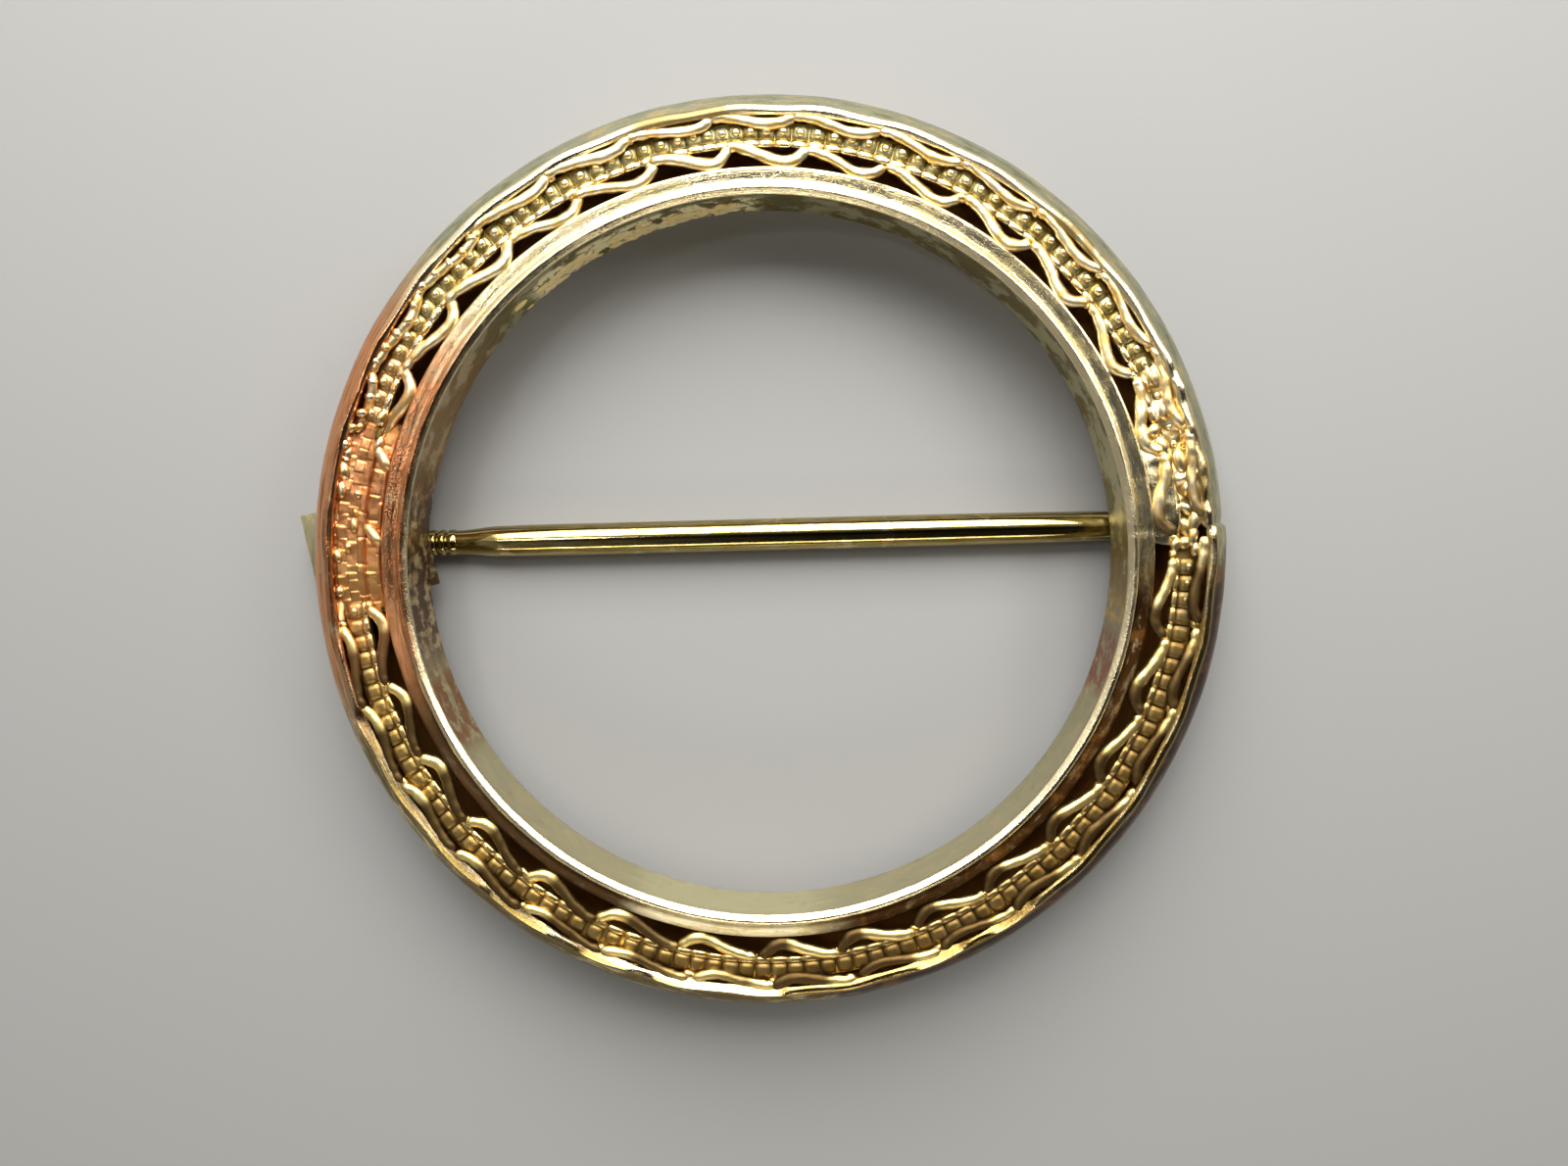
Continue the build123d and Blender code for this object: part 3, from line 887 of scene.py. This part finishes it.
def makeFlood(values):
    inner, outer, half = values["inner"], values["outer"], values["half"]
    steps = int(half * floodEdge["perDegree"])
    rows = int((outer - inner) * floodEdge["perMm"])
    obj = makeSector(values, values["turn"] + half, values["turn"] - half, steps, rows)
    middle = (inner + outer) / 2
    reach = (outer - inner) / 2
    level = floodEdge["blockyLevel"] if values["blocky"] else 0.0
    for vertex in obj.data.vertices:
        turn, radius, drop = polar(vertex.co)
        edge = fadeIn(abs(turnGap(turn, values["turn"])), half * 0.55, half)
        side = fadeIn(abs(radius - middle), reach * 0.7, reach)
        spot = vertex.co / mm
        rough = values["rough"] * (noise.turbulence(spot * values["grain"], 3, values["blocky"]) - level)
        drop += floodEdge["endDrop"] * edge + floodEdge["sideDrop"] * side - rough
        push = noise.noise_vector(spot * 1.7) * values["ragged"] * max(edge, side)
        if values["blocky"]:
            drop += blockDrop(turn, radius, blockSet)
        vertex.co = ringPoint(turn + push.x * 4, radius + push.y, drop)
    return thicken(obj, values["thick"])


# grains: small balls of solder in the waves' notches, at the joint and over the flooded stretch, in mm
grainSets = {
    "notch": {"share": 0.85, "size": 0.15, "radius": 13.50, "lead": 0.60},
    "crest": {"share": 0.75, "size": 0.145, "radius": 14.44, "lead": 2.75},
    "joint": {"count": 5, "size": 0.20, "turn": 16.5, "half": 9.5, "inner": 13.85, "outer": 14.72},
}
grainSeed = 41
grainDrop = 0.40
# row of balls along the outer waves at the upper left, as shares of the repeat and of the width
rowSet = {
    "turn": 149, "half": 17, "drop": 0.28,
    "spots": ((0.06, 0.80), (0.26, 0.62), (0.46, 0.36), (0.66, 0.20), (0.84, 0.42)),
}
wallSet = {
    "seed": 17, "count": 260, "size": 0.16, "turn": 113.0, "half": 19.5, "radius": 12.07, "top": 1.35,
    "foot": 2.5, "bare": 115.5, "bareHalf": 1.2, "flat": 0.50,
}
# loose balls: turn, radius, size and length, 0 where the length is drawn at random
looseGrains = [
    (182.6, 14.42, 0.15, 0), (177.8, 14.42, 0.16, 0), (176.6, 14.06, 0.14, 0), (173.5, 13.90, 0.15, 0),
    (168.9, 14.42, 0.18, 0), (166.4, 14.45, 0.22, 0), (169.1, 13.86, 0.13, 0), (164.9, 14.46, 0.15, 0),
    (171.7, 13.86, 0.10, 0), (162.4, 14.55, 0.13, 0), (160.2, 14.30, 0.12, 0), (158.0, 13.72, 0.15, 0),
    (15.0, 13.62, 0.24, 0), (17.3, 13.55, 0.24, 0), (6.0, 13.68, 0.17, 0), (1.0, 13.62, 0.17, 0),
    (4.2, 14.28, 0.25, 0), (3.4, 13.95, 0.20, 0), (2.0, 14.20, 0.20, 0), (1.2, 13.92, 0.18, 0),
    (5.8, 14.05, 0.22, 0), (0.4, 14.25, 0.17, 0), (14.6, 14.48, 0.26, 0), (16.6, 14.50, 0.24, 0),
    (11.5, 14.40, 0.18, 2.7), (8.6, 14.16, 0.22, 0), (21.8, 14.28, 0.16, 2.3), (24.4, 14.02, 0.15, 2.2),
    (19.2, 14.02, 0.17, 1.9),
]


def makeGrains():
    rng = random.Random(grainSeed)
    spots = [(turn, radius, size, grainDrop, long) for turn, radius, size, long in looseGrains]
    for name in ("notch", "crest"):
        values = grainSets[name]
        for repeat in range(waveRepeats):
            size = values["size"] * rng.uniform(0.7, 1.2)
            if rng.random() < values["share"]:
                turn = waveTurn(waveStart + values["lead"] - repeat * wavePitch + rng.uniform(-0.15, 0.15))
                spots.append((turn, values["radius"] + rng.uniform(-0.03, 0.03), size, grainDrop, 0))
    for repeat in range(waveRepeats):
        start = waveStart + outerWave["lead"] - repeat * wavePitch
        if abs(turnGap(start, rowSet["turn"])) < rowSet["half"]:
            for share, height in rowSet["spots"]:
                turn = waveTurn(start - share * wavePitch)
                radius = outerWave["start"] + height * outerWave["width"]
                spots.append((turn, radius, rng.uniform(0.15, 0.18), rowSet["drop"], 1.0))
    values = grainSets["joint"]
    for count in range(values["count"]):
        turn = values["turn"] + rng.uniform(-1, 1) * values["half"]
        radius = rng.uniform(values["inner"], values["outer"])
        spots.append((turn, radius, values["size"] * rng.uniform(0.5, 1.25), rng.uniform(0.30, 0.48), 0))
    return shapeGrains(spots, "solderGrains", rng)


def makeWallGrains(values):
    # gilt that stands in lumps on the opening's wall, low down at the top of the ring
    rng = random.Random(values["seed"])
    spots = []
    for count in range(values["count"]):
        turn = values["turn"] + rng.uniform(-1, 1) * values["half"]
        drop = rng.uniform(values["top"], values["foot"])
        crowded = noise.noise(Vector((turn * 0.25, drop * 1.2, 3.0))) > -0.12
        if crowded and abs(turn - values["bare"]) > values["bareHalf"]:
            spots.append((turn, values["radius"], values["size"] * rng.uniform(0.5, 1.2), drop, 0))
    return shapeGrains(spots, "wallGrains", rng, values["flat"])


def shapeGrains(spots, name, rng, flat=1.0):
    bpy.ops.mesh.primitive_ico_sphere_add(subdivisions=2, radius=1)
    master = nameActive("grain")
    copies = []
    for turn, radius, size, drop, stretch in spots:
        copy = copyMesh(master)
        long = stretch or rng.uniform(0.9, 1.9)
        lean = rng.uniform(-0.6, 0.6)
        for vertex in copy.data.vertices:
            spot = vertex.co * 0.9 + Vector((turn, radius, 0))
            swell = size * (1 + 0.35 * noise.noise(spot))
            x, y, z = vertex.co * swell
            x, y = flat * (x + lean * y * 0.5), y * long
            vertex.co = ringPoint(turn + math.degrees(y / radius), radius + x, drop - z * 0.8)
        copies.append(copy)
    return joinCopies(master, copies, name)


# pin: a turned wire with two small collars, a flattened eye and a point; each row is a length from the
# hinge and a radius in mm
stemSet = {"name": "pinStem", "eye": 0.42, "eyeWidth": 0.95, "bore": 0.23, "bevel": 0.05}
stemRows = [
    (0.00, 0.34), (0.60, 0.35), (1.42, 0.35), (1.53, 0.36), (1.58, 0.44), (1.66, 0.475), (1.77, 0.475),
    (1.85, 0.44), (1.88, 0.35), (1.92, 0.35), (1.95, 0.44), (2.02, 0.47), (2.10, 0.47), (2.17, 0.44),
    (2.20, 0.36), (2.245, 0.36), (2.28, 0.44), (2.35, 0.475), (2.47, 0.475), (2.55, 0.44), (2.60, 0.43),
    (2.70, 0.44), (3.10, 0.46), (3.55, 0.52), (4.00, 0.56), (5.20, 0.575), (8.0, 0.58), (12.0, 0.58),
    (16.0, 0.58), (21.8, 0.575), (26.1, 0.54), (26.5, 0.45), (26.9, 0.37), (28.0, 0.21), (28.8, 0.08),
    (28.97, 0.03),
]


def addBarrel(name, radius, depth, y=pinY, sides=64):
    # a round bar along the hinge's axis
    bpy.ops.mesh.primitive_cylinder_add(vertices=sides, radius=radius, depth=depth,
                                        location=(hingeX, y, pinZ), rotation=(math.pi / 2, 0, 0))
    return nameActive(name)


def combine(obj, tool, operation):
    addModifier(obj, "BOOLEAN", object=tool, operation=operation, solver="EXACT")
    bpy.data.objects.remove(tool)


def makeStem(values):
    stretch = (stemTipX - hingeX) / stemRows[-1][0]
    rows = [((hingeX + x * stretch, pinY, pinZ), radius) for x, radius in stemRows]
    obj = sweepWire(values["name"], rows, 1.0, along=6, around=10)
    tidyNormals(obj, merge=1e-5)
    eye = addBarrel("eye", values["eye"], values["eyeWidth"])
    bevelEdges(eye, values["bevel"])
    bore = addBarrel("bore", values["bore"], values["eyeWidth"] * 2)
    combine(obj, eye, "UNION")
    combine(obj, bore, "DIFFERENCE")
    for vertex in obj.data.vertices:
        spot = vertex.co * 1.3
        push = 0.010 * noise.noise(spot) + 0.006 * noise.noise(spot * 3)
        middle = Vector((vertex.co.x, pinY, pinZ))
        if vertex.co.x > hingeX + 0.7:
            vertex.co += (vertex.co - middle) * push
        vertex.co *= mm
    return obj


# back: the joint plate with its ears, and the catch, soldered to the ring
plateSet = {
    "x": -0.42, "y": -0.17, "length": 4.32, "width": 3.4, "thick": 0.15, "skew": 10.5, "bevel": 0.03,
}
earSet = {
    "radius": 0.62, "inner": 0.505, "thick": 0.40, "bore": 0.21, "boreDepth": 2, "bevel": 0.06,
    "overlap": 0.02,
}
catchSet = {"length": 1.6, "inner": 0.46, "thick": 0.30, "plate": 2.6, "bevel": 0.07}


def makeBlock(name, place, size, bevel, turn=0.0):
    bpy.ops.mesh.primitive_cube_add(size=1, location=place, rotation=(0, 0, math.radians(turn)))
    obj = nameActive(name)
    obj.scale = size
    freezePlace(obj)
    bevelEdges(obj, bevel)
    return obj


def makeEar(side):
    y = pinY + side * (earSet["inner"] + earSet["thick"] / 2)
    ear = addBarrel("ear", earSet["radius"], earSet["thick"], y)
    freezePlace(ear)
    for vertex in ear.data.vertices:
        if vertex.co.z > pinZ:
            vertex.co.z = backZ - plateSet["thick"] + earSet["overlap"]
    tidyNormals(ear, merge=1e-6)
    bevelEdges(ear, earSet["bevel"], angle=0.9)
    bore = addBarrel("bore", earSet["bore"], earSet["boreDepth"], y, sides=48)
    combine(ear, bore, "DIFFERENCE")
    return ear


def makeBack():
    plateZ = backZ - plateSet["thick"] / 2
    thick, bevel = plateSet["thick"], plateSet["bevel"]
    parts = [makeBlock("jointPlate", (hingeX + plateSet["x"], pinY + plateSet["y"], plateZ),
                       (plateSet["length"], plateSet["width"], thick), bevel, plateSet["skew"])]
    parts += [makeEar(side) for side in (-1, 1)]
    catchX = ringX + (ringX - hingeX)
    size = (catchSet["plate"], catchSet["plate"], thick)
    parts.append(makeBlock("catchPlate", (catchX, pinY, plateZ), size, bevel))
    for side in (-1, 1):
        y = pinY + side * (catchSet["inner"] + catchSet["thick"] / 2)
        size = (catchSet["length"], catchSet["thick"], backZ)
        parts.append(makeBlock("cheek", (catchX, y, backZ / 2), size, catchSet["bevel"]))
    obj = joinPieces(parts, "backFittings")
    for vertex in obj.data.vertices:
        vertex.co *= mm
    return obj


# every piece is built and handed to its body and slot; the rivet is the frame's own
finishPiece(makeRing(), "brooch", ringSheet, stands=["ring_frame"])
finishPiece(makeBack(), "brooch", fittingGold)
for values in (innerWave, outerWave):
    wave = makeWave(values)
    finishPiece(wave, "brooch", wireMetals["waveGold"], stands=["filigree_band"], angle=80)
for values, metal in ((pillowSet, "pillowGold"), (beadSet, "beadGold"), (lineSet, "lineGold")):
    finishPiece(makeBeads(values), "brooch", wireMetals[metal], angle=80)
finishPiece(makeStrip(stripSet), "brooch", wireMetals["stripGold"])
finishPiece(makeGrains(), "brooch", wireMetals["solderGold"], angle=80)
finishPiece(makeWallGrains(wallSet), "brooch", wireMetals["giltGold"], angle=80)
floodMetals = (wireMetals["solderGold"], ringSheet, wireMetals["roseSolder"])
for values, metal in zip(floodSets, floodMetals):
    finishPiece(makeFlood(values), "brooch", metal, angle=80)
finishPiece(makeStem(stemSet), "pin", pinGold, stands=["pin_stem"])

rivet = frame["nodes"]["hinge_rivet"]
rivet.data.materials.clear()
rivet.data.materials.append(pinGold)
print("brooch built")

# floor: plain and pale
floorSet = {"size": 1.2, "tone": (0.27, 0.27, 0.268), "rough": 0.8}


def addFloor(values):
    bpy.ops.mesh.primitive_plane_add(size=values["size"], location=(0, 0, 0))
    floor = nameActive("floor")
    material, tree, shader = newTree("paleFloor")
    shader.inputs["Base Color"].default_value = (*values["tone"], 1)
    shader.inputs["Roughness"].default_value = values["rough"]
    floor.data.materials.append(material)


# world: dim overhead and on the right, so that the metal has something dark to show; each ramp has two
# bounds and the two values there
worldSet = {
    "tone": (0.86, 0.83, 0.78), "top": (0.0, 0.36, 0.025, 0.70), "left": (0.0, -0.4, 0.0, 0.28),
    "overhead": (0.995, 0.93, 0.2, 1.0), "horizon": (0.55, 0.12, 0.0, 0.42),
}


def setWorld(values):
    world = bpy.data.worlds.new("studio")
    bpy.context.scene.world = world
    world.use_nodes = True
    tree = world.node_tree
    background = tree.nodes["Background"]
    coordinates = tree.nodes.new("ShaderNodeTexCoord")
    split = tree.nodes.new("ShaderNodeSeparateXYZ")
    tree.links.new(coordinates.outputs["Generated"], split.inputs["Vector"])
    x, y, z = split.outputs
    around = plus(addRamp(y, *values["top"]), addRamp(x, *values["left"]))
    around = times(around, addRamp(z, *values["overhead"]))
    horizon = addRamp(z, *values["horizon"])
    tree.links.new(addMath("MAXIMUM", around, horizon), background.inputs["Strength"])
    background.inputs["Color"].default_value = (*values["tone"], 1)


addFloor(floorSet)
setWorld(worldSet)
bpy.context.scene.view_settings.view_transform = "Standard"
print("stage set")
